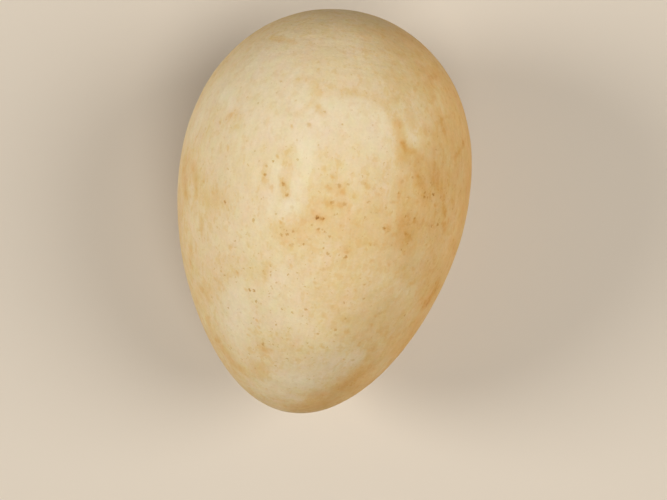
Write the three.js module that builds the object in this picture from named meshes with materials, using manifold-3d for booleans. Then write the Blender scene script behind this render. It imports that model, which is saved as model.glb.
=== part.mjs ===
// A bird's egg, lying on its side as it settles on a table, in millimetres with +Z up.
// The blunt end points along +Y and is a little raised, and the pointed end droops along -Y.
// The origin is on the small flat spot that the egg rests on, straight under its centre of mass.

import * as THREE from "three";
import { mergeVertices } from "three/addons/utils/BufferGeometryUtils.js";
import Module from "manifold-3d";

// Driving dimensions. TAPER and BOW give the egg's own outline.
const LENGTH = 73; // from tip to tip
const BREADTH = 52; // across the widest place
const TAPER = 0.161; // how much fuller the blunt half is than the pointed one, as a share
const BOW = 0.24; // how far the middle of the egg stands out towards -X
const FLAT_DEPTH = 0.3; // how far the resting spot is set into the round shell

// Fineness of the faceted shell
const STEPS_AROUND = 72;
const STEPS_ALONG = 52;
const SETTLING_STEPS = 4000;

// Finish of the shell
const SHELL_COLOUR = 0xe4cfa6;
const SHELL_ROUGHNESS = 0.6;

// A station runs from -1 at the pointed tip to 1 at the blunt tip.
// The outline is an ellipse that grows fuller towards the blunt end, the classic egg formula.
function fullness(station) {
  return Math.sqrt(1 - station ** 2) * (1 + TAPER * station);
}

// The derivative of fullness is zero here.
const WIDEST_STATION = (Math.sqrt(1 + 8 * TAPER ** 2) - 1) / (4 * TAPER);

function halfWidth(station) {
  return ((BREADTH / 2) * fullness(station)) / fullness(WIDEST_STATION);
}

function placeAlong(station) {
  return (LENGTH / 2) * station;
}

function bowAt(station) {
  return -BOW * (1 - station ** 2);
}

// The centre of mass of the solid that fullness gives, from its integrals along the axis.
const MASS_STATION = (2 * TAPER) / (5 + TAPER ** 2);

// An egg comes to rest on the place of its shell that is nearest to its centre of mass.
function settledStation() {
  let nearest = 0;
  let least = Infinity;
  for (let step = 0; step <= SETTLING_STEPS; step += 1) {
    const station = (2 * step) / SETTLING_STEPS - 1;
    const along = placeAlong(station) - placeAlong(MASS_STATION);
    const distance = Math.hypot(along, halfWidth(station));
    if (distance < least) {
      least = distance;
      nearest = station;
    }
  }
  return nearest;
}

// The whole round egg about the Y axis, with its middle at the origin.
function roundEgg() {
  const outline = [];
  for (let step = 0; step <= STEPS_ALONG; step += 1) {
    const station = -Math.cos((Math.PI * step) / STEPS_ALONG);
    outline.push(new THREE.Vector2(halfWidth(station), placeAlong(station)));
  }
  const shell = new THREE.LatheGeometry(outline, STEPS_AROUND);
  const places = shell.getAttribute("position");
  for (let i = 0; i < places.count; i += 1) {
    const station = places.getY(i) / placeAlong(1);
    places.setX(i, places.getX(i) + bowAt(station));
  }
  return shell;
}

// The egg turned and lowered to its resting pose, with its lowest point just under the table top.
function settle(shell) {
  const station = settledStation();
  const behind = placeAlong(MASS_STATION) - placeAlong(station);
  const droop = Math.atan2(behind, halfWidth(station));
  const contact = new THREE.Vector3(
    bowAt(station),
    placeAlong(station),
    -halfWidth(station),
  );
  contact.applyAxisAngle(new THREE.Vector3(1, 0, 0), droop);
  shell.rotateX(droop);
  shell.translate(-contact.x, -contact.y, -contact.z - FLAT_DEPTH);
}

function solidFrom(wasm, geometry) {
  geometry.deleteAttribute("normal");
  geometry.deleteAttribute("uv");
  const merged = mergeVertices(geometry);
  const mesh = new wasm.Mesh({
    numProp: 3,
    vertProperties: merged.getAttribute("position").array,
    triVerts: new Uint32Array(merged.index.array),
  });
  return new wasm.Manifold(mesh);
}

function geometryFrom(solid) {
  const mesh = solid.getMesh();
  const geometry = new THREE.BufferGeometry();
  geometry.setAttribute(
    "position",
    new THREE.BufferAttribute(mesh.vertProperties, mesh.numProp),
  );
  geometry.setIndex(new THREE.BufferAttribute(mesh.triVerts, 1));
  geometry.computeVertexNormals();
  return geometry;
}

// Everything of the shell that is under the table top is taken off, which leaves the flat spot.
function cutFlat(wasm, shell) {
  const block = new THREE.BoxGeometry(BREADTH, LENGTH, BREADTH);
  block.translate(0, 0, -BREADTH / 2);
  return geometryFrom(solidFrom(wasm, shell).subtract(solidFrom(wasm, block)));
}

const wasm = await Module();
wasm.setup();

const shell = roundEgg();
settle(shell);

const shellMaterial = new THREE.MeshStandardMaterial({
  color: SHELL_COLOUR,
  roughness: SHELL_ROUGHNESS,
  metalness: 0,
});
const egg = new THREE.Mesh(cutFlat(wasm, shell), shellMaterial);
egg.name = "egg";

const part = new THREE.Group();
part.add(egg);
export default part;
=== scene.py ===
"""A bird's egg lying on its side on its flat spot, with a plain floor, soft lights and a camera above."""

import math
from typing import NamedTuple

import bmesh
import bpy
import numpy as np
from mathutils import Matrix, Vector, noise


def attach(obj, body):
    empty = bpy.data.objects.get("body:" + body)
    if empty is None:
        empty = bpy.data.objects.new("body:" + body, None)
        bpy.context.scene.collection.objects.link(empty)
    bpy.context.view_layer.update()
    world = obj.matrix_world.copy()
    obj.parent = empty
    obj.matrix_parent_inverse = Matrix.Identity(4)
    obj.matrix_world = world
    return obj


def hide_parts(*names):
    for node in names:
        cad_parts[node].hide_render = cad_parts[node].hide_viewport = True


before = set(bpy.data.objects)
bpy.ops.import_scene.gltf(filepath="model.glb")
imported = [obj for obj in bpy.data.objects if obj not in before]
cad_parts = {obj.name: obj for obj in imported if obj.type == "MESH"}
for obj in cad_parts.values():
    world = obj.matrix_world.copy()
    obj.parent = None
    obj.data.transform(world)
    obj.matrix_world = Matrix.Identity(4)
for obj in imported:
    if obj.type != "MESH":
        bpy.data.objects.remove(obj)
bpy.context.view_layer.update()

bl_info = {
    "name": "Bird Egg",
    "version": (1, 0, 0),
    "blender": (4, 5, 0),
    "location": "View3D > Sidebar > Bird Egg",
    "description": "Adds a weathered cream bird's egg with its pores and stains, and a stage to show it on",
    "category": "Add Mesh",
}

MM = 0.001

# Fineness of the shell's mesh
SEGMENTS = 90
RINGS = 62
SMOOTHING_LEVELS = 2
SETTLING_STEPS = 4000
SHARP_RIM = math.radians(4)
RING_THRESHOLD = 0.01 * MM
CUT_THRESHOLD = 0.001 * MM

# The slight unevenness of a real shell: how far apart its swells are, and how high
SWELL_SPACING = 13 * MM
SWELL_HEIGHT = 0.25 * MM


class Stroke(NamedTuple):
    """A stroke of stain along a line on the shell.

    Depth 1 is the brown of the right flank, and a depth below 0 is a cleaner patch. The reach is how far
    the stroke spreads to either side, in millimetres. Each place on the line is millimetres from the egg's
    middle towards its blunt end, and degrees round from its top towards +X.
    """

    depth: float
    reach: float
    line: tuple


class Fleck(NamedTuple):
    """A small dark spot: its depth, its radius in millimetres, and its place as a stroke gives it."""

    depth: float
    radius: float
    along: float
    around: float


# How stained the shell is where no stroke reaches
STAIN_LEVEL = 0.2

RIGHT_FLANK = (
    Stroke(0.66, 16, ((27, 84), (6, 82), (-12, 88))),
    Stroke(0.18, 3.5, ((27, 37), (26, 44))),
    # Along the right rim: partly stain and partly painted warm bounce light
    Stroke(0.22, 5, ((27, 80), (22, 82), (10, 76))),
    Stroke(0.30, 2.5, ((-10, 72),)),
    Stroke(0.16, 4, ((-18, 38), (-18, 72))),
    Stroke(0.12, 5, ((22, 42), (6, 40), (2, 32))),
    Stroke(0.22, 4, ((-6, 50), (-11, 44))),
    Stroke(0.50, 6.5, ((14, 47), (7, 42), (0, 44))),
    Stroke(0.12, 6, ((24, 62), (18, 60), (8, 64))),
    Stroke(0.15, 5, ((-9, 68), (-18, 60))),
    Stroke(0.20, 5, ((10, 80), (2, 74), (-4, 76))),
    Stroke(0.25, 1.2, ((28, 42), (28, 57))),
    Stroke(0.30, 0.7, ((31, 53), (30, 51))),
    Stroke(0.20, 1.0, ((22, 48), (20, 51))),
    Stroke(0.18, 1.6, ((28, 63), (26, 66))),
    Stroke(0.25, 0.9, ((21, 32), (19, 33))),
    Stroke(0.55, 0.5, ((17, 68), (16, 64), (15, 60))),
    Stroke(0.30, 0.8, ((14, 36), (12, 36), (10, 36))),
    Stroke(0.45, 1.1, ((10, 38), (7, 41))),
    Stroke(0.22, 1.4, ((12, 45), (10, 49), (7, 50))),
    Stroke(0.60, 0.7, ((6, 53), (5, 55))),
    Stroke(0.40, 0.9, ((3, 56), (2, 58))),
    Stroke(0.22, 1.4, ((9, 29), (7, 31), (4, 33))),
    Stroke(0.20, 1.5, ((3, 33), (1, 36), (-1, 36))),
    Stroke(0.25, 1.3, ((0, 66), (-2, 76))),
    Stroke(0.45, 1.0, ((-7, 65), (-9, 68), (-11, 67), (-12, 63))),
    Stroke(0.20, 2.5, ((-5, 63), (-11, 65), (-17, 66), (-21, 68))),
)

BLUNT_END = (
    # A ring round the blunt tip: partly stain and partly painted shade
    Stroke(0.18, 10, ((35, -180), (35, -90), (35, 0), (35, 90), (35, 180))),
    Stroke(0.15, 5, ((34, -82), (30, -88), (24, -90))),
    Stroke(0.08, 5, ((34, 60), (34, 78))),
    Stroke(0.12, 2.5, ((30, 42), (30, 54))),
    Stroke(0.15, 3, ((30, -66), (29, -80))),
    Stroke(0.30, 0.7, ((29.6, -49), (29.6, -40), (29.4, -31))),
    Stroke(0.20, 0.9, ((24, -17), (24, -12), (22, -7))),
    Stroke(0.10, 2.5, ((27, 27), (24, 27))),
)

# A faint curved line, as a thumb leaves it, with a fork at its start and a dark hook at its end
ARCH = (
    Stroke(0.30, 0.7, ((18, -14), (19, -12), (20.5, -9), (19, -4))),
    Stroke(0.12, 1.2, ((22, -8), (23, -2), (23, 3))),
    Stroke(0.25, 0.8, ((23, 3), (23, 12), (23, 16), (22, 20), (20, 24), (19, 26))),
    Stroke(0.40, 1.1, ((19, 26), (17, 28), (16, 29), (14, 30))),
    Stroke(0.80, 0.6, ((16, 29), (15, 31), (15, 34))),
)

MIDDLE = (
    Stroke(0.24, 9, ((6, 8), (-4, 13), (-14, 18))),
    Stroke(0.45, 0.8, ((2.1, 0.8), (2.1, 2.6))),
    Stroke(0.16, 5, ((2, 0), (1, 14), (2, 28))),
    Stroke(0.12, 5, ((-14, 34), (-18, 24))),
    Stroke(0.18, 0.9, ((12, -15), (10, -14), (7, -13))),
    Stroke(0.30, 0.7, ((7, -14), (5, -12))),
    Stroke(0.15, 1.2, ((8, -22), (6, -20))),
    Stroke(0.15, 1.6, ((-1, -13), (-2, -7))),
    Stroke(0.22, 0.6, ((-7, -17), (-10, -17))),
    Stroke(0.20, 1.2, ((8, 6), (7, 8))),
    Stroke(0.25, 0.9, ((5, 4), (5, 10))),
    Stroke(0.18, 1.2, ((-2, 14), (-3, 13))),
)

LEFT_FLANK = (
    Stroke(0.22, 5, ((7, -68), (0, -74), (-5, -80))),
    # Along the lower left rim: partly stain and partly painted warm bounce light
    Stroke(0.16, 6, ((-8, -72), (-16, -70), (-22, -66))),
    Stroke(0.15, 4, ((24, -76), (17, -74))),
    Stroke(0.15, 4, ((3, -60), (1, -44))),
    Stroke(0.25, 1.3, ((6, -70), (3, -67), (1, -63))),
    Stroke(0.30, 1.0, ((6, -59), (4, -55))),
    Stroke(0.20, 1.6, ((2, -52), (2, -38))),
    Stroke(0.30, 0.7, ((-2, -50), (-4, -50))),
    Stroke(0.30, 0.7, ((-8, -60), (-11, -62))),
    Stroke(0.35, 0.9, ((-14.6, -55), (-15, -52), (-16, -50))),
    Stroke(0.20, 1.0, ((-20, -56), (-22, -59))),
    Stroke(0.22, 1.3, ((16, -42), (15, -37))),
    Stroke(0.12, 2.5, ((16, -54), (13, -60))),
    Stroke(0.14, 5, ((-10, -30), (-12, -50), (-13, -66))),
)

POINTED_END = (
    # Along the rim near the pointed tip: stain, deepened as painted shade
    Stroke(0.44, 7, ((-26, 74), (-31, 62), (-34, 44))),
    Stroke(0.32, 2.4, ((-23, 45), (-26, 43), (-28, 39))),
    Stroke(0.30, 1.3, ((-31, 18), (-29.5, 30), (-27.5, 38), (-25, 43))),
    Stroke(0.30, 0.8, ((-19, 39), (-22, 40))),
    Stroke(0.15, 2.5, ((-20, 55), (-23, 55))),
    # These two strokes along the rim near the pointed tip: stain, deepened as painted shade
    Stroke(0.26, 2.8, ((-34, 10), (-33, 36))),
    Stroke(0.26, 4.5, ((-31, 40), (-31, 56), (-28, 78))),
    Stroke(0.30, 3, ((-25, 46), (-27, 44))),
    Stroke(0.15, 3, ((-34, -30), (-34, 0), (-34, 40))),
    Stroke(0.13, 4, ((-22, -20), (-22, 8))),
    Stroke(0.25, 1.6, ((-26, -20),)),
    Stroke(0.12, 4, ((-24, 14), (-26, 26))),
    Stroke(0.40, 1.3, ((-24, -54), (-25, -50), (-27, -47), (-27.5, -42))),
    # Along the lower left rim: partly stain and partly painted warm bounce light
    Stroke(0.30, 5, ((-22, -84), (-30, -70), (-31, -62))),
    Stroke(0.18, 3.5, ((-24, -52), (-28, -40))),
    Stroke(0.24, 1.2, ((-26, -26), (-28, -22))),
    Stroke(0.16, 1.5, ((-28, -37), (-28, -26))),
    Stroke(0.25, 1.0, ((-22, -18), (-23, -18))),
)

# Small soft spots, painted as strokes of one place
SOFT_SPOTS = (
    # Near the middle
    Fleck(0.55, 0.40, 3, -1.8),
    Fleck(0.65, 0.30, -0.2, 1.4),
    Fleck(0.40, 0.65, -2.4, 13),
    Fleck(0.70, 0.30, 0.5, -13),
    Fleck(0.70, 0.47, 7.1, 7.5),
    Fleck(0.70, 0.45, 4.9, 7.5),
    Fleck(0.50, 0.45, 7.4, 2.5),
    Fleck(0.55, 0.33, 6.6, 12),
    Fleck(0.65, 0.41, 8.4, 16),
    Fleck(0.55, 0.30, 7.3, 20.5),
    Fleck(0.65, 0.35, 9.2, 3),
    Fleck(0.50, 0.40, 10.2, -0.5),
    Fleck(0.70, 0.33, 11.6, 4.5),
    Fleck(0.65, 0.39, 2, 27.5),
    Fleck(0.40, 0.40, 1.9, 15.5),
    Fleck(0.50, 0.37, -0.8, 23.5),
    Fleck(0.50, 0.37, -1, 21.5),
    Fleck(0.55, 0.27, -3.7, 23.5),
    Fleck(0.65, 0.27, -4, 31),
    # Left of the middle
    Fleck(0.65, 0.25, 11, -18),
    Fleck(0.50, 0.55, 6.7, -21),
    Fleck(0.40, 0.40, 5.8, -18),
    Fleck(0.65, 0.33, 16, -15),
    Fleck(0.65, 0.30, 16.7, -8.5),
    Fleck(0.55, 0.33, 10.7, -40),
    Fleck(0.65, 0.35, 14.4, -48),
    Fleck(0.50, 0.30, 15.9, -43.5),
    Fleck(0.30, 0.30, 7.1, -32.5),
    Fleck(0.55, 0.30, 2.7, -43.5),
    Fleck(0.40, 0.27, 3.4, -41.5),
    Fleck(0.55, 0.30, 4.2, -50),
    Fleck(0.50, 0.35, 2.8, -55),
    Fleck(0.50, 0.35, 0.9, -59),
    Fleck(0.40, 0.35, -2.8, -25),
    Fleck(0.40, 0.35, -2, -20.5),
    Fleck(0.40, 0.31, -4.4, -25),
    Fleck(0.30, 0.35, -5.6, -33.5),
    # Towards the pointed end
    Fleck(0.50, 0.33, -6.6, -7),
    Fleck(0.50, 0.35, -8.7, 3),
    Fleck(0.70, 0.30, -9.6, -30),
    Fleck(0.55, 0.25, -11.8, -43),
    Fleck(0.65, 0.33, -10.7, -62),
    Fleck(0.65, 0.25, -12.3, -25.5),
    Fleck(0.50, 0.25, -15.9, -21),
    Fleck(0.65, 0.27, -17.3, -21),
    Fleck(0.50, 0.29, -18.5, -20),
    Fleck(0.40, 0.25, -19.3, -25.5),
    Fleck(0.50, 0.25, -20.5, -26.5),
    Fleck(0.65, 0.27, -19.1, -11),
    Fleck(0.40, 0.40, -14.2, 9),
    Fleck(0.55, 0.65, -22.5, -17.5),
    Fleck(0.50, 0.40, -22.4, -14),
    Fleck(0.55, 0.25, -20.5, 6.5),
    Fleck(0.55, 0.27, -21.5, 5.5),
    Fleck(0.55, 0.33, -20, 12.5),
    Fleck(0.50, 0.41, -14.8, 21),
    Fleck(0.55, 0.45, -16.9, 22),
    Fleck(0.40, 0.35, -9.2, 20),
    Fleck(0.70, 0.35, -15.3, 33),
    Fleck(0.55, 0.35, -13.4, 33),
    Fleck(0.65, 0.35, -19.2, 31),
    Fleck(0.50, 0.45, -16.6, 43.5),
    Fleck(0.70, 0.39, -7.4, 45),
    Fleck(0.40, 0.39, -7.1, 46.5),
    Fleck(0.40, 0.35, -7.4, 54),
    # On the right flank
    Fleck(0.70, 0.30, 6.5, 47),
    Fleck(0.70, 0.35, 6.7, 37.5),
    Fleck(0.55, 0.30, 7.2, 34),
    Fleck(0.65, 0.37, 11, 36.5),
    Fleck(0.70, 0.35, 13.3, 45),
    Fleck(0.65, 0.35, 3.5, 38),
    Fleck(0.70, 0.35, 1.4, 35.5),
    Fleck(0.55, 0.35, 3.9, 58),
)

# The side that the egg lies on
UNDERSIDE = (
    Stroke(0.45, 15, ((20, 125), (-4, 150), (-20, 125))),
    Stroke(0.30, 12, ((12, -115), (-14, -135))),
    Stroke(0.35, 6, ((6, 178), (0, 195))),
    Stroke(0.45, 5, ((-18, 175), (-24, 200))),
    Stroke(0.35, 4, ((25, -150), (22, -130))),
    Stroke(0.50, 1.2, ((10, 140), (4, 148))),
    Stroke(0.40, 1.5, ((-12, -110),)),
    Stroke(0.40, 1.0, ((16, -100), (13, -104))),
)

CLEAN_PATCHES = (
    Stroke(-0.14, 7, ((25, -34), (17, -26))),
    Stroke(-0.18, 6, ((19, -4), (17, 13))),
    Stroke(-0.28, 2.2, ((13, -7), (9, -7), (4, -10))),
    Stroke(-0.20, 1.2, ((9, -18), (2, -18))),
    Stroke(-0.24, 3.2, ((-12, -29), (-20, -33))),
    Stroke(-0.20, 4, ((-22, 16), (-27, 6))),
    Stroke(-0.12, 4, ((19, -55), (18, -64))),
    Stroke(-0.28, 0.7, ((25, 52), (22, 53))),
    Stroke(-0.18, 0.9, ((15, 41), (10, 42))),
    Stroke(-0.20, 1.2, ((17, 34), (16, 35))),
    Stroke(-0.35, 2.8, ((14, 51),)),
    Stroke(-0.20, 2.5, ((18, -50),)),
    Stroke(-0.15, 3, ((13, -62), (11, -68))),
    Stroke(-0.20, 2.5, ((10, 9),)),
    Stroke(-0.15, 2.5, ((6, 12),)),
    Stroke(-0.14, 2.5, ((-2, 2), (-2, 14))),
    Stroke(-0.14, 3, ((-17, 0), (-18, 12))),
    Stroke(-0.15, 2.5, ((2, -11),)),
    Stroke(-0.15, 3.5, ((-9, -6), (-14, -10))),
    Stroke(-0.15, 2.0, ((-2, 47), (-4, 44))),
)

STAINS = (
    *RIGHT_FLANK,
    *BLUNT_END,
    *ARCH,
    *MIDDLE,
    *LEFT_FLANK,
    *POINTED_END,
    *(Stroke(spot.depth, spot.radius, ((spot.along, spot.around),)) for spot in SOFT_SPOTS),
    *UNDERSIDE,
    *CLEAN_PATCHES,
)

# How thickly the fine pores lie: 1 where they are all open
PORE_LEVEL = 0.35
PORE_FIELDS = (
    Stroke(0.40, 14, ((6, 10), (-8, 5), (-16, 10))),
    Stroke(0.30, 9, ((-10, -25), (-22, -22))),
    Stroke(0.35, 9, ((8, 45), (0, 50))),
    Stroke(0.40, 12, ((5, 170), (-10, 210))),
)

# Broad soft patches painted darker or paler: painted shade at the blunt end, painted light at the pointed
# end, and a darker patch on the right flank. The depth is the share of light that they take
PAINTED_LIGHT_AND_SHADE_LEVEL = 0.0
PAINTED_LIGHT_AND_SHADE_PATCHES = (
    # A broad patch darker across the right flank
    Stroke(0.11, 8, ((12, 54), (-10, 48), (-21, 38), (-26, 18))),
    # Painted shade along the rim of the blunt end
    Stroke(0.10, 6.5, ((35.5, -40), (36.4, 0), (35.5, 30))),
    # Painted light along the rim at the pointed end, which makes it paler
    Stroke(-0.10, 5, ((-36, -40), (-36, 40))),
)

# Small sharp flecks, drawn by the material
FLECKS = (
    # Near the middle
    Fleck(3.2, 0.36, 2.2, 0),
    Fleck(1.7, 0.28, 2.1, 1.4),
    Fleck(1.8, 0.28, 2.2, 2.3),
    Fleck(1.3, 0.30, 0.4, 1),
    Fleck(1.0, 0.25, 0.8, -1.5),
    Fleck(1.0, 0.26, -0.6, 5.5),
    Fleck(1.4, 0.22, -2.7, 4),
    Fleck(1.4, 0.25, -2.6, -3.5),
    Fleck(1.1, 0.28, -3.5, 6),
    Fleck(1.6, 0.28, -3.6, 13),
    Fleck(0.9, 0.22, -0.7, -8),
    Fleck(1.3, 0.28, -1.4, -10),
    Fleck(1.1, 0.28, -1.6, -12),
    Fleck(1.1, 0.45, 7.9, 6),
    Fleck(1.1, 0.35, 5.0, 4.5),
    Fleck(1.0, 0.42, 5.0, 9),
    Fleck(1.0, 0.26, 8.3, 9),
    Fleck(0.9, 0.22, 5.9, 17.5),
    Fleck(1.7, 0.34, 1.9, 25.5),
    # Left of the middle
    Fleck(1.5, 0.22, 10.1, -19.5),
    Fleck(1.0, 0.25, 9.1, -21.5),
    Fleck(1.6, 0.28, 7.6, -21.5),
    Fleck(1.3, 0.34, 6.7, -14),
    Fleck(1.5, 0.30, 5.1, -12),
    Fleck(0.9, 0.22, 11.1, -27.5),
    Fleck(1.6, 0.30, 1.7, -37),
    Fleck(1.0, 0.28, -0.1, -23.5),
    # Towards the pointed end
    Fleck(1.0, 0.22, -7.1, -15),
    Fleck(0.9, 0.22, -8.2, -15),
    Fleck(1.1, 0.20, -8.8, -15),
    Fleck(1.2, 0.20, -10.6, -14.5),
    Fleck(1.0, 0.20, -11.0, -14),
    Fleck(1.1, 0.20, -9.6, -0.5),
    Fleck(1.1, 0.22, -10.7, -36.5),
    Fleck(1.8, 0.26, -12.0, -22),
    Fleck(1.8, 0.24, -12.1, -24),
    Fleck(1.3, 0.28, -13.9, -21),
    Fleck(0.9, 0.22, -14.4, -9),
    Fleck(1.2, 0.24, -14.6, -4.5),
    Fleck(1.2, 0.28, -13.7, 1),
    Fleck(1.9, 0.32, -21.6, -18.5),
    Fleck(1.0, 0.25, -16.6, 16),
    Fleck(1.1, 0.22, -14.4, 19),
    Fleck(1.2, 0.30, -13.4, 50),
    # On the right flank
    Fleck(2.0, 0.30, 8.2, 45.5),
    Fleck(1.0, 0.25, 7.8, 50),
    Fleck(1.1, 0.30, 8.4, 41),
    Fleck(1.0, 0.30, 7.6, 41),
    Fleck(1.1, 0.25, 8.0, 29),
    Fleck(1.3, 0.30, 3.2, 51),
    Fleck(1.0, 0.25, 9.0, 64.5),
)

# Where the camera stands, measured from the resting spot
CAMERA_X = 3.47 * MM
CAMERA_Y = -8.33 * MM
CAMERA_HEIGHT = 300 * MM
CAMERA_TURN = math.radians(9.01)
CAMERA_LENS = 82.75
SENSOR_WIDTH = 36
CLIP_START = 10 * MM

FLOOR_SIZE = 4.0
FLOOR_ROUGHNESS = 0.9
ROOM_LIGHT = 0.03
LAMP_DISTANCE = 0.8


class Lamp(NamedTuple):
    """A round soft lamp turned to the egg. Its bearing is in degrees from +Y towards +X."""

    name: str
    bearing: float
    elevation: float
    diameter: float
    watts: float


LAMPS = (
    Lamp("left_lamp", 265, 35, 0.35, 3.8),
    Lamp("right_lamp", 78, 45, 0.50, 3.65),
    Lamp("near_lamp", 150, 70, 0.35, 2.2),
)


class EggSizes(bpy.types.PropertyGroup):
    length: bpy.props.FloatProperty(
        name="Length",
        description="From tip to tip",
        default=73 * MM,
        unit="LENGTH",
    )
    breadth: bpy.props.FloatProperty(
        name="Breadth",
        description="Across the widest place",
        default=52 * MM,
        unit="LENGTH",
    )
    taper: bpy.props.FloatProperty(
        name="Taper",
        description="How much fuller the blunt half is than the pointed one, as a share",
        default=0.161,
    )
    bow: bpy.props.FloatProperty(
        name="Bow",
        description="How far the middle of the egg stands out to one side",
        default=0.24 * MM,
        unit="LENGTH",
    )
    flat_depth: bpy.props.FloatProperty(
        name="Flat depth",
        description="How far the resting spot is set into the round shell",
        default=0.3 * MM,
        unit="LENGTH",
    )


def colour_property(name, description, default):
    return bpy.props.FloatVectorProperty(
        name=name,
        description=description,
        default=default,
        subtype="COLOR",
    )


class EggColours(bpy.types.PropertyGroup):
    chalk: colour_property("Chalk", "The cleanest shell", (0.828, 0.732, 0.53))
    cream: colour_property("Cream", "Clean shell", (0.788, 0.665, 0.45))
    straw: colour_property("Straw", "Lightly stained shell", (0.726, 0.54, 0.28))
    ochre: colour_property("Ochre", "Stained shell", (0.694, 0.451, 0.186))
    rust: colour_property("Rust", "The deepest stains", (0.625, 0.332, 0.088))
    umber: colour_property("Umber", "The darkest flecks", (0.27, 0.11, 0.035))
    lamp: colour_property("Lamp", "Light of the lamps", (1.0, 0.965, 0.91))
    floor: colour_property("Floor", "Plain floor", (0.68, 0.61, 0.52))


class EggForm:
    """The egg's outline, and how it lies, worked out from its sizes."""

    def __init__(self, sizes):
        self.sizes = sizes
        taper = sizes.taper
        # The egg is widest at the first of these, and has its centre of mass at the second
        self.widest_station = (math.sqrt(1 + 8 * taper**2) - 1) / (4 * taper)
        self.mass_station = 2 * taper / (5 + taper**2)
        self.contact_station = self.settled_station()
        behind = self.place_along(self.mass_station) - self.place_along(self.contact_station)
        self.droop = math.atan2(behind, self.half_width(self.contact_station))
        self.turn = Matrix.Rotation(self.droop, 3, "X")
        contact = self.turn @ Vector((
            self.bow_at(self.contact_station),
            self.place_along(self.contact_station),
            -self.half_width(self.contact_station),
        ))
        self.shift = -contact - Vector((0, 0, sizes.flat_depth))

    def fullness(self, station):
        """How wide the egg is at a station, which runs from -1 at the pointed tip to 1 at the blunt tip."""
        return math.sqrt(1 - station**2) * (1 + self.sizes.taper * station)

    def half_width(self, station):
        return self.sizes.breadth / 2 * self.fullness(station) / self.fullness(self.widest_station)

    def place_along(self, station):
        return self.sizes.length / 2 * station

    def bow_at(self, station):
        return -self.sizes.bow * (1 - station**2)

    def settled_station(self):
        """The egg comes to rest on the place of its shell that is nearest to its centre of mass."""
        mass = self.place_along(self.mass_station)
        stations = [2 * step / SETTLING_STEPS - 1 for step in range(SETTLING_STEPS + 1)]
        return min(stations, key=lambda s: math.hypot(self.place_along(s) - mass, self.half_width(s)))

    def on_shell(self, along, around):
        """A mark's place on the egg's own axes, in millimetres from its middle."""
        station = along * MM / self.place_along(1)
        angle = math.radians(around)
        width = self.half_width(station)
        return Vector((
            self.bow_at(station) + width * math.sin(angle),
            self.place_along(station),
            width * math.cos(angle),
        )) / MM

    def at_rest(self, place):
        """The same place where the egg lies on its flat spot, in millimetres."""
        return self.turn @ place + self.shift / MM


# The stains are painted on the points of the mesh, and a stroke's edge wanders by a share of its reach
LINE_STEPS = 12
EDGE_SHARPNESS = 3
WANDER_SHARE = 0.4
WANDER_SIZES = (5.0, 1.6)

# Without a seed of its own the wandering would be new in each run
WANDER_SEED = 4


def points_on_line(form, line):
    """Points close together along a stroke's line, in millimetres."""
    places = np.array(line, float)
    if len(places) > 1:
        steps = np.linspace(0, len(places) - 1, LINE_STEPS * (len(places) - 1) + 1)
        corners = np.arange(len(places))
        along = np.interp(steps, corners, places[:, 0])
        around = np.interp(steps, corners, places[:, 1])
        places = np.stack([along, around], 1)
    return [np.array(form.at_rest(form.on_shell(along, around))) for along, around in places]


def wander(points):
    """A push in a random direction for each point, much the same for points that are close together."""
    noise.seed_set(WANDER_SEED)
    pushes = np.zeros_like(points)
    for size in WANDER_SIZES:
        share = size / WANDER_SIZES[0]
        pushes += share * np.array([noise.noise_vector(Vector(point) / size) for point in points])
    return pushes


def paint(egg, form, name, level, strokes):
    """Stores how strong the strokes are together at each point of the mesh."""
    mesh = egg.data
    points = np.empty(3 * len(mesh.vertices))
    mesh.vertices.foreach_get("co", points)
    points = points.reshape(-1, 3) / MM
    pushes = wander(points)
    strength = np.full(len(points), float(level))
    for stroke in strokes:
        moved = points + WANDER_SHARE * stroke.reach * pushes
        distance = np.full(len(points), np.inf)
        for middle in points_on_line(form, stroke.line):
            distance = np.minimum(distance, np.linalg.norm(moved - middle, axis=1))
        strength += stroke.depth * np.exp(-((distance / stroke.reach) ** EDGE_SHARPNESS))
    attribute = mesh.attributes.new(name, "FLOAT", "POINT")
    attribute.data.foreach_set("value", strength.astype(np.float32))


def add_node(tree, kind, inputs=None, **settings):
    """Adds a shader node. Each input is a plain value, or another node's output to join to it."""
    node = tree.nodes.new(kind)
    for name, value in settings.items():
        setattr(node, name, value)
    for name, value in (inputs or {}).items():
        if isinstance(value, bpy.types.NodeSocket):
            tree.links.new(value, node.inputs[name])
        else:
            node.inputs[name].default_value = value
    return node


def calculate(tree, operation, *values):
    return add_node(tree, "ShaderNodeMath", dict(enumerate(values)), operation=operation).outputs[0]


def calculate_vector(tree, operation, *values):
    return add_node(tree, "ShaderNodeVectorMath", dict(enumerate(values)), operation=operation)


def scale_vector(tree, vector, factor):
    inputs = {0: vector, "Scale": factor}
    return add_node(tree, "ShaderNodeVectorMath", inputs, operation="SCALE").outputs[0]


def fade(tree, value, start, end):
    """Goes smoothly from 0 where the value is at the start to 1 where it is at the end."""
    if start < end:
        limits = {"From Min": start, "From Max": end, "To Min": 0.0, "To Max": 1.0}
    else:
        limits = {"From Min": end, "From Max": start, "To Min": 1.0, "To Max": 0.0}
    node = add_node(tree, "ShaderNodeMapRange", {"Value": value, **limits}, interpolation_type="SMOOTHSTEP")
    return node.outputs["Result"]


NOISE_MIDDLE = 0.5
CLOUD_DETAIL = 2.0
CLOUD_ROUGHNESS = 0.55


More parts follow.
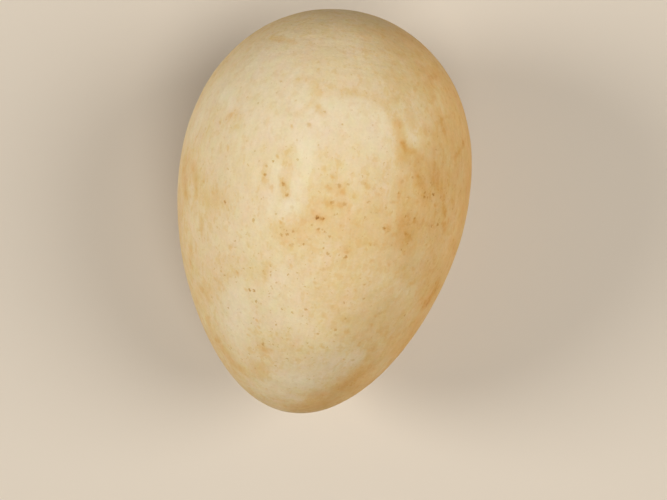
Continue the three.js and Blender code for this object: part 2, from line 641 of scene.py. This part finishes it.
def clouds(tree, places, size):
    """Soft clouds around 0. Their size is in millimetres across, along and up through the egg."""
    scaled = calculate_vector(tree, "MULTIPLY", places, [1 / width for width in size]).outputs[0]
    texture = add_node(
        tree,
        "ShaderNodeTexNoise",
        {"Vector": scaled, "Scale": 1.0, "Detail": CLOUD_DETAIL, "Roughness": CLOUD_ROUGHNESS},
    )
    return calculate(tree, "SUBTRACT", texture.outputs["Fac"], NOISE_MIDDLE)


def painted(tree, name):
    return add_node(tree, "ShaderNodeAttribute", attribute_name=name).outputs["Fac"]


def shell_places(tree, form):
    """Places on the egg's own axes, in millimetres from its middle."""
    middle = form.turn.inverted() @ -form.shift / MM
    mapping = add_node(
        tree,
        "ShaderNodeMapping",
        {
            "Vector": add_node(tree, "ShaderNodeTexCoord").outputs["Object"],
            "Location": middle,
            "Rotation": (-form.droop, 0, 0),
            "Scale": (1 / MM, 1 / MM, 1 / MM),
        },
    )
    return mapping.outputs["Vector"]


class Layer(NamedTuple):
    """A layer of clouds: their size in millimetres across, along and up through the egg, and a strength."""

    size: tuple
    strength: float


def layered(tree, places, layers, start=0.0):
    """Adds layers of clouds to a starting value."""
    total = start
    for layer in layers:
        total = calculate(tree, "MULTIPLY_ADD", clouds(tree, places, layer.size), layer.strength, total)
    return total


SHELL_GLOSS = 0.12
SHELL_ROUGHNESS = 0.6
ROUGHNESS_CHANGES = (Layer((3, 3, 3), 0.15),)

# The unevenness of the wash of stain
MOTTLING = (
    Layer((11, 11, 11), 0.20),
    Layer((4, 4, 4), 0.40),
    Layer((1.4, 1.4, 1.4), 0.35),
    Layer((0.5, 0.5, 0.5), 0.35),
    Layer((0.8, 4, 0.8), 0.45),
)

# Small blotches with clear edges, where these clouds are thick
BLOTCHES = Layer((1.3, 1.9, 1.3), 0.22)
BLOTCH_EDGE = 0.05
BLOTCH_FULL = 0.14

# Neutral dirt, and a drift of the stain between khaki and orange
GRIME = (
    Layer((7, 7, 7), 0.07),
    Layer((2.6, 2.6, 2.6), 0.07),
    Layer((1, 1, 1), 0.08),
    Layer((0.4, 0.4, 0.4), 0.14),
)
HUES = (
    Layer((6, 6, 6), 0.05),
    Layer((1.8, 2.6, 1.8), 0.12),
)

# What a full drift towards khaki adds to red, green and blue, as shares of each
TOWARDS_KHAKI = (-0.5, 0.6, -1.2)

# How far the pores and flecks stain the shell, and how far they darken it
PIT_STAIN = 0.6
PIT_SHADE = 0.11

# How strong the unevenness is on unstained shell, and how much a full stain adds to it
THINNEST_TEXTURE = 0.55
TEXTURE_WITH_STAIN = 0.7

# The brushed marks on the upper side run in rings around a centre, whose place is given as a stroke's is.
# Their width, and how far from the centre they start and end, are in millimetres.
BRUSHED_ALONG = 11
BRUSHED_AROUND = 6
BRUSHED_WIDTH = 0.6
BRUSHED_BREAKS = 5.0
BRUSHED_START = 8.0
BRUSHED_END = 30.0
BRUSHED_FADE = 6.0
BRUSHED_STRENGTH = 0.3


def brushed_marks(tree, places, form):
    """Fine marks in rings around one place on the shell, as from wiping it."""
    centre = form.on_shell(BRUSHED_ALONG, BRUSHED_AROUND)
    offset = calculate_vector(tree, "SUBTRACT", places, centre).outputs[0]
    distance = calculate_vector(tree, "LENGTH", offset).outputs["Value"]
    direction = calculate_vector(tree, "NORMALIZE", offset).outputs[0]
    parts = add_node(tree, "ShaderNodeSeparateXYZ", {0: direction})
    polar = add_node(
        tree,
        "ShaderNodeCombineXYZ",
        {
            "X": calculate(tree, "MULTIPLY", parts.outputs["X"], BRUSHED_BREAKS),
            "Y": calculate(tree, "MULTIPLY", parts.outputs["Y"], BRUSHED_BREAKS),
            "Z": calculate(tree, "DIVIDE", distance, BRUSHED_WIDTH),
        },
    )
    marks = clouds(tree, polar.outputs[0], (1, 1, 1))
    begun = fade(tree, distance, BRUSHED_START, BRUSHED_START + BRUSHED_FADE)
    lasting = fade(tree, distance, BRUSHED_END, BRUSHED_END - BRUSHED_FADE)
    shown = calculate(tree, "MULTIPLY", begun, lasting)
    return calculate(tree, "MULTIPLY", marks, shown)


class Pores(NamedTuple):
    """A scatter of dark pores: their spacing and radius in millimetres, and their depth as for a stain."""

    spacing: float
    radius: float
    depth: float


PORES = (
    Pores(3.3, 0.50, 0.8),
    Pores(1.6, 0.28, 1.6),
    Pores(0.85, 0.17, 1.2),
)

# The full middle and the faint rim of a dot, as shares of its radius
DOT_MIDDLE = 0.3
FLECK_RIM = 1.3

# How uneven the edges of the dots are, in millimetres
RAGGED_SIZE = 0.35
RAGGED_PUSH = 0.5


def ragged(tree, places):
    """The same places, each pushed a little, so that small dots have uneven edges."""
    inputs = {"Vector": places, "Scale": 1 / RAGGED_SIZE, "Detail": 0.0}
    texture = add_node(tree, "ShaderNodeTexNoise", inputs)
    push = calculate_vector(tree, "SUBTRACT", texture.outputs["Color"], (NOISE_MIDDLE,) * 3).outputs[0]
    return calculate_vector(tree, "MULTIPLY_ADD", push, (RAGGED_PUSH,) * 3, places).outputs[0]


def pore_dots(tree, places, pores):
    """The pores of one scatter, each a soft dot with a depth of its own."""
    cells = add_node(tree, "ShaderNodeTexVoronoi", {"Vector": places, "Scale": 1 / pores.spacing})
    rim = pores.radius / pores.spacing
    dot = fade(tree, cells.outputs["Distance"], rim, DOT_MIDDLE * rim)
    chance = add_node(tree, "ShaderNodeSeparateColor", {0: cells.outputs["Color"]}).outputs[0]
    return calculate(tree, "MULTIPLY", dot, calculate(tree, "MULTIPLY", chance, pores.depth))


def fleck_dots(tree, places, form):
    """The flecks, each at its own place, as one pattern."""
    pattern = 0.0
    for fleck in FLECKS:
        place = form.on_shell(fleck.along, fleck.around)
        distance = calculate_vector(tree, "DISTANCE", places, place).outputs["Value"]
        dot = fade(tree, distance, FLECK_RIM * fleck.radius, DOT_MIDDLE * fleck.radius)
        pattern = calculate(tree, "MAXIMUM", pattern, calculate(tree, "MULTIPLY", dot, fleck.depth))
    return pattern


def stain_pattern(tree, places, form):
    """How stained the shell is, from the painted strokes and the unevenness of the wash."""
    stain = painted(tree, "stain")
    texture = calculate(tree, "MULTIPLY", brushed_marks(tree, places, form), BRUSHED_STRENGTH)
    blotches = fade(tree, clouds(tree, places, BLOTCHES.size), BLOTCH_EDGE, BLOTCH_FULL)
    texture = calculate(tree, "MULTIPLY_ADD", blotches, BLOTCHES.strength, texture)
    texture = layered(tree, places, MOTTLING, texture)
    thickness = calculate(tree, "MULTIPLY_ADD", stain, TEXTURE_WITH_STAIN, THINNEST_TEXTURE)
    return calculate(tree, "MULTIPLY_ADD", texture, thickness, stain)


# The stain and pore depths at which the shell has each of its colours
COLOUR_DEPTHS = {"chalk": -0.25, "cream": 0.0, "straw": 0.5, "ochre": 1.0, "rust": 1.8, "umber": 3.2}


def shell_colour(tree, places, stain, pits, colours):
    """Turns the depth of the stain and pits to colour, and adds the drift in hue, the random dirt and the
    painted light and shade.
    """
    depth = calculate(tree, "MULTIPLY_ADD", pits, PIT_STAIN, stain)
    least = min(COLOUR_DEPTHS.values())
    most = max(COLOUR_DEPTHS.values())
    share = add_node(tree, "ShaderNodeMapRange", {"Value": depth, "From Min": least, "From Max": most})
    ramp = add_node(tree, "ShaderNodeValToRGB", {"Fac": share.outputs["Result"]})
    stops = ramp.color_ramp.elements
    while len(stops) < len(COLOUR_DEPTHS):
        stops.new(1.0)
    for stop, (name, stop_depth) in zip(stops, COLOUR_DEPTHS.items()):
        stop.position = (stop_depth - least) / (most - least)
        stop.color = (*getattr(colours, name), 1)
    plain = ramp.outputs["Color"]
    khaki = scale_vector(tree, TOWARDS_KHAKI, layered(tree, places, HUES))
    tinted = calculate_vector(tree, "MULTIPLY_ADD", plain, khaki, plain).outputs[0]
    # The share of light left by the patches of painted shade and painted light
    painted_lighting = calculate(tree, "SUBTRACT", 1.0, painted(tree, "painted_light_and_shade"))
    shade = layered(tree, places, GRIME, calculate(tree, "MULTIPLY_ADD", pits, -PIT_SHADE, painted_lighting))
    return scale_vector(tree, tinted, shade)


# The fine relief: here a layer's strength is the height of its bumps in millimetres
RELIEF = (
    Layer((0.3, 0.3, 0.3), 0.02),
    Layer((0.8, 0.8, 0.8), 0.04),
    Layer((2.5, 2.5, 2.5), 0.10),
    Layer((6, 6, 6), 0.20),
)
WRINKLES = Layer((2.5, 0.8, 2.5), 0.10)
WRINKLES_START = 20.0
WRINKLES_END = 30.0
PIT_DEPTH = 0.02


def shell_relief(tree, places, pits):
    """The height of the grain, of the wrinkles near the blunt end and of the pits at the pores."""
    along = add_node(tree, "ShaderNodeSeparateXYZ", {0: places}).outputs["Y"]
    wrinkled = fade(tree, along, WRINKLES_START, WRINKLES_END)
    wrinkles = calculate(tree, "MULTIPLY", clouds(tree, places, WRINKLES.size), wrinkled)
    height = layered(tree, places, RELIEF, calculate(tree, "MULTIPLY", wrinkles, WRINKLES.strength))
    return calculate(tree, "MULTIPLY_ADD", pits, -PIT_DEPTH, height)


def shell_material(form, colours):
    """Matt shell with stains, pores and flecks, all set out on the egg's own axes."""
    material = bpy.data.materials.new("eggshell")
    material.use_nodes = True
    tree = material.node_tree
    shader = tree.nodes["Principled BSDF"]
    shader.inputs["Specular IOR Level"].default_value = SHELL_GLOSS
    places = shell_places(tree, form)
    pushed = ragged(tree, places)
    pits = fleck_dots(tree, pushed, form)
    for pores in PORES:
        field = calculate(tree, "MULTIPLY", pore_dots(tree, pushed, pores), painted(tree, "pores"))
        pits = calculate(tree, "MAXIMUM", pits, field)
    colour = shell_colour(tree, places, stain_pattern(tree, places, form), pits, colours)
    tree.links.new(colour, shader.inputs["Base Color"])
    roughness = layered(tree, places, ROUGHNESS_CHANGES, SHELL_ROUGHNESS)
    tree.links.new(roughness, shader.inputs["Roughness"])
    relief = shell_relief(tree, places, pits)
    bump = add_node(tree, "ShaderNodeBump", {"Height": relief, "Distance": MM})
    tree.links.new(bump.outputs["Normal"], shader.inputs["Normal"])
    return material


class MESH_OT_bird_egg_add(bpy.types.Operator):
    """Models the egg's shell in its resting pose and gives it its finish"""

    bl_idname = "mesh.bird_egg_add"
    bl_label = "Add Bird Egg"

    def execute(self, context):
        sizes = context.scene.egg_sizes
        form = EggForm(sizes)
        bpy.ops.object.select_all(action="DESELECT")
        bpy.ops.mesh.primitive_uv_sphere_add(
            segments=SEGMENTS,
            ring_count=RINGS,
            radius=sizes.length / 2,
            rotation=(math.radians(-90), 0, 0),
        )
        egg = context.object
        egg.name = "eggshell"
        egg.data.name = "eggshell"
        bpy.ops.object.transform_apply(location=True, rotation=True, scale=True)
        self.shape_rings(egg, form)
        egg.rotation_euler = (form.droop, 0, 0)
        egg.location = form.shift
        bpy.ops.object.transform_apply(location=True, rotation=True, scale=True)
        smoothing = egg.modifiers.new("Smoothing", "SUBSURF")
        smoothing.levels = SMOOTHING_LEVELS
        smoothing.render_levels = SMOOTHING_LEVELS
        bpy.ops.object.modifier_apply(modifier=smoothing.name)
        self.raise_swells(egg)
        self.cut_flat_spot()
        bpy.ops.object.shade_smooth_by_angle(angle=SHARP_RIM)
        paint(egg, form, "stain", STAIN_LEVEL, STAINS)
        paint(egg, form, "pores", PORE_LEVEL, PORE_FIELDS)
        # Painted shade at the blunt end and painted light at the pointed end, with the darker right flank
        paint(egg, form, "painted_light_and_shade", PAINTED_LIGHT_AND_SHADE_LEVEL, PAINTED_LIGHT_AND_SHADE_PATCHES)
        egg.data.materials.clear()
        egg.data.materials.append(shell_material(form, context.scene.egg_colours))
        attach(egg, "root")
        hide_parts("egg")
        return {"FINISHED"}

    def shape_rings(self, egg, form):
        """Scales and slides the ball's rings, one by one, to the egg's outline."""
        bpy.ops.object.mode_set(mode="EDIT")
        bpy.ops.mesh.select_mode(type="VERT")
        for ring in range(1, RINGS):
            station = math.cos(math.pi * ring / RINGS)
            along = form.place_along(station)
            self.select_ring(egg, along)
            width = form.half_width(station) / (form.sizes.length / 2 * math.sin(math.pi * ring / RINGS))
            bpy.ops.transform.resize(value=(width, 1, width), center_override=(0, along, 0))
            bpy.ops.transform.translate(value=(form.bow_at(station), 0, 0))
        bpy.ops.object.mode_set(mode="OBJECT")

    def select_ring(self, egg, along):
        """Selects the points of the ring that is this far along the egg."""
        shell = bmesh.from_edit_mesh(egg.data)
        for vertex in shell.verts:
            vertex.select = abs(vertex.co.y - along) < RING_THRESHOLD
        shell.select_flush_mode()
        bmesh.update_edit_mesh(egg.data)

    def raise_swells(self, egg):
        """Gives the shell the slight unevenness of a real one."""
        texture = bpy.data.textures.new("swells", "CLOUDS")
        texture.noise_scale = SWELL_SPACING
        swells = egg.modifiers.new("Swells", "DISPLACE")
        swells.texture = texture
        swells.texture_coords = "LOCAL"
        swells.mid_level = NOISE_MIDDLE
        swells.strength = SWELL_HEIGHT
        bpy.ops.object.modifier_apply(modifier=swells.name)

    def cut_flat_spot(self):
        """Cuts off the little that is under the table top, and closes the cut with a flat face."""
        bpy.ops.object.mode_set(mode="EDIT")
        bpy.ops.mesh.select_all(action="SELECT")
        bpy.ops.mesh.bisect(
            plane_co=(0, 0, 0),
            plane_no=(0, 0, 1),
            use_fill=True,
            clear_inner=True,
            threshold=CUT_THRESHOLD,
        )
        bpy.ops.object.mode_set(mode="OBJECT")


class SCENE_OT_egg_stage_add(bpy.types.Operator):
    """Adds the floor, the soft lights and the camera"""

    bl_idname = "scene.egg_stage_add"
    bl_label = "Add Egg Stage"

    def execute(self, context):
        colours = context.scene.egg_colours
        self.add_floor(context, colours.floor)
        self.add_camera(context)
        middle = Vector((0, 0, context.scene.egg_sizes.breadth / 2))
        for lamp in LAMPS:
            self.add_lamp(context, lamp, middle, colours.lamp)
        self.add_room_light(context)
        context.scene.view_settings.view_transform = "Standard"
        return {"FINISHED"}

    def add_floor(self, context, colour):
        bpy.ops.object.select_all(action="DESELECT")
        bpy.ops.mesh.primitive_plane_add(size=FLOOR_SIZE)
        floor = context.object
        floor.name = "floor"
        material = bpy.data.materials.new("floor")
        material.use_nodes = True
        shader = material.node_tree.nodes["Principled BSDF"]
        shader.inputs["Base Color"].default_value = (*colour, 1)
        shader.inputs["Roughness"].default_value = FLOOR_ROUGHNESS
        floor.data.materials.append(material)

    def add_camera(self, context):
        bpy.ops.object.camera_add(
            location=(CAMERA_X, CAMERA_Y, CAMERA_HEIGHT),
            rotation=(0, 0, CAMERA_TURN),
        )
        camera = context.object
        camera.data.lens = CAMERA_LENS
        camera.data.sensor_width = SENSOR_WIDTH
        camera.data.clip_start = CLIP_START
        context.scene.camera = camera

    def add_lamp(self, context, lamp, middle, colour):
        bearing = math.radians(lamp.bearing)
        elevation = math.radians(lamp.elevation)
        direction = Vector((
            math.sin(bearing) * math.cos(elevation),
            math.cos(bearing) * math.cos(elevation),
            math.sin(elevation),
        ))
        bpy.ops.object.light_add(
            type="AREA",
            location=middle + LAMP_DISTANCE * direction,
            rotation=direction.to_track_quat("Z", "Y").to_euler(),
        )
        light = context.object
        light.name = lamp.name
        light.visible_camera = False
        light.data.shape = "DISK"
        light.data.size = lamp.diameter
        light.data.energy = lamp.watts
        light.data.color = colour

    def add_room_light(self, context):
        world = bpy.data.worlds.new("soft_room")
        world.use_nodes = True
        background = world.node_tree.nodes["Background"]
        background.inputs["Color"].default_value = (1, 1, 1, 1)
        background.inputs["Strength"].default_value = ROOM_LIGHT
        context.scene.world = world


class VIEW3D_PT_bird_egg(bpy.types.Panel):
    """Shows the egg's sizes and colours, and adds the egg and its stage"""

    bl_idname = "VIEW3D_PT_bird_egg"
    bl_label = "Bird Egg"
    bl_space_type = "VIEW_3D"
    bl_region_type = "UI"
    bl_category = "Bird Egg"

    def draw(self, context):
        for group in (context.scene.egg_sizes, context.scene.egg_colours):
            box = self.layout.box()
            for name in type(group).__annotations__:
                box.prop(group, name)
        self.layout.operator(MESH_OT_bird_egg_add.bl_idname)
        self.layout.operator(SCENE_OT_egg_stage_add.bl_idname)


CLASSES = (
    EggSizes,
    EggColours,
    MESH_OT_bird_egg_add,
    SCENE_OT_egg_stage_add,
    VIEW3D_PT_bird_egg,
)


def register():
    for item in CLASSES:
        bpy.utils.register_class(item)
    bpy.types.Scene.egg_sizes = bpy.props.PointerProperty(type=EggSizes)
    bpy.types.Scene.egg_colours = bpy.props.PointerProperty(type=EggColours)


def unregister():
    del bpy.types.Scene.egg_colours
    del bpy.types.Scene.egg_sizes
    for item in reversed(CLASSES):
        bpy.utils.unregister_class(item)


def main():
    register()
    bpy.ops.scene.egg_stage_add()
    bpy.ops.mesh.bird_egg_add()


if __name__ == "__main__":
    main()
